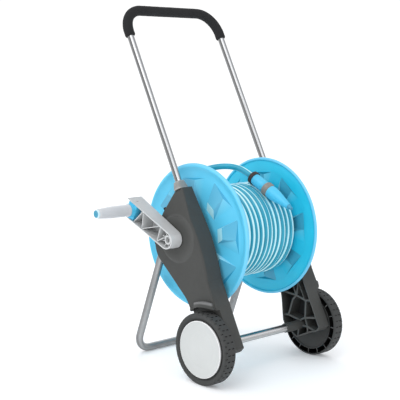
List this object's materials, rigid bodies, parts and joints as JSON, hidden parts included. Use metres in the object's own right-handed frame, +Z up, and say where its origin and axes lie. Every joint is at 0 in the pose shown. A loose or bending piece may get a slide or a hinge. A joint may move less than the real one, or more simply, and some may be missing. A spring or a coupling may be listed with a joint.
{
  "type": "garden hose reel cart",
  "caption": "Two-wheeled hose reel cart with a cranked drum of garden hose between two side panels, a tall tube handle and a tube stand.",
  "frame": {"origin": "on the floor under the middle of the cart's box, measured without the hose and its fittings", "axes": "+X from the crank side to the water inlet side, along the drum and wheel axles; +Y from the wheels towards the person pulling; +Z up"},
  "size_m": [0.5638, 0.475, 0.9065],
  "materials": {
    "panel_plastic": "fine matt texture",
    "zinc_tube": "bright zinc",
    "grey_tube": "satin grey",
    "axle_steel": "bright",
    "foam": "matt foam",
    "light_plastic": "satin",
    "black_rubber": "matt",
    "steel_hardware": "zinc",
    "tyre_plastic": "satin moulded",
    "drum_blue": "semi-gloss",
    "grey_plastic": "satin",
    "hose_blue": "semi-gloss with a pale stripe"
  },
  "bodies": {
    "frame": {"side_panel_left": "panel_plastic", "side_panel_right": "panel_plastic", "handle_tube": "zinc_tube", "handle_grip": "foam", "handle_collar_left": "light_plastic", "handle_collar_right": "light_plastic", "stand_tube": "grey_tube", "peg_base": "light_plastic", "peg_cap": "black_rubber", "frame_screws": "steel_hardware", "axle_tube": "axle_steel", "axle_rod": "axle_steel", "axle_clips": "steel_hardware", "drum_bush_left": "panel_plastic", "drum_bush_right": "panel_plastic"},
    "drum": {"drum_flange_left": "drum_blue", "drum_flange_right": "drum_blue", "drum_core": "drum_blue", "drum_journal_left": "drum_blue", "drum_journal_right": "drum_blue", "drum_screws": "steel_hardware", "feed_pipe": "grey_plastic", "feed_pipe_nut": "grey_plastic", "hose_coil": "hose_blue", "hose_tail": "hose_blue", "connector_nut": "grey_plastic", "hose_connector": "drum_blue", "nozzle_ring": "grey_plastic", "nozzle_stem": "grey_plastic", "crank_arm": "light_plastic", "crank_screw": "steel_hardware", "fold_pin": "steel_hardware", "inlet_clip": "steel_hardware"},
    "crank_handle": {"crank_knuckle": "drum_blue", "crank_grip_cap": "drum_blue"},
    "crank_sleeve": {"crank_grip": "light_plastic"},
    "wheel_left": {"wheel_left": "tyre_plastic", "hubcap_left": "light_plastic"},
    "wheel_right": {"wheel_right": "tyre_plastic", "hubcap_right": "light_plastic"},
    "inlet": {"inlet_elbow": "grey_plastic"},
    "nozzle": {"nozzle_head": "drum_blue", "nozzle_tip": "grey_plastic"}
  },
  "joints": [
    {"name": "drum_spin", "type": "hinge", "parent": "frame", "child": "drum", "pos_m": [0.06345, -0.032, 0.3373], "axis": [1, 0, 0], "continuous": true},
    {"name": "crank_fold", "type": "hinge", "parent": "drum", "child": "crank_handle", "pos_m": [-0.15855, 0.09165, 0.39628], "axis": [0, 0.4305, -0.9026], "range_deg": [0, 90]},
    {"name": "crank_grip_spin", "type": "hinge", "parent": "crank_handle", "child": "crank_sleeve", "pos_m": [-0.18055, 0.09165, 0.39628], "axis": [-1, 0, 0], "continuous": true},
    {"name": "wheel_left_spin", "type": "hinge", "parent": "frame", "child": "wheel_left", "pos_m": [-0.13655, -0.1495, 0.088], "axis": [1, 0, 0], "continuous": true},
    {"name": "wheel_right_spin", "type": "hinge", "parent": "frame", "child": "wheel_right", "pos_m": [0.26345, -0.1495, 0.088], "axis": [1, 0, 0], "continuous": true},
    {"name": "inlet_swivel", "type": "hinge", "parent": "drum", "child": "inlet", "pos_m": [0.26495, -0.032, 0.3373], "axis": [1, 0, 0], "continuous": true},
    {"name": "nozzle_twist", "type": "hinge", "parent": "drum", "child": "nozzle", "pos_m": [0.10745, -0.14548, 0.43473], "axis": [0, -0.9011, -0.4337], "range_deg": [0, 270]}
  ]
}
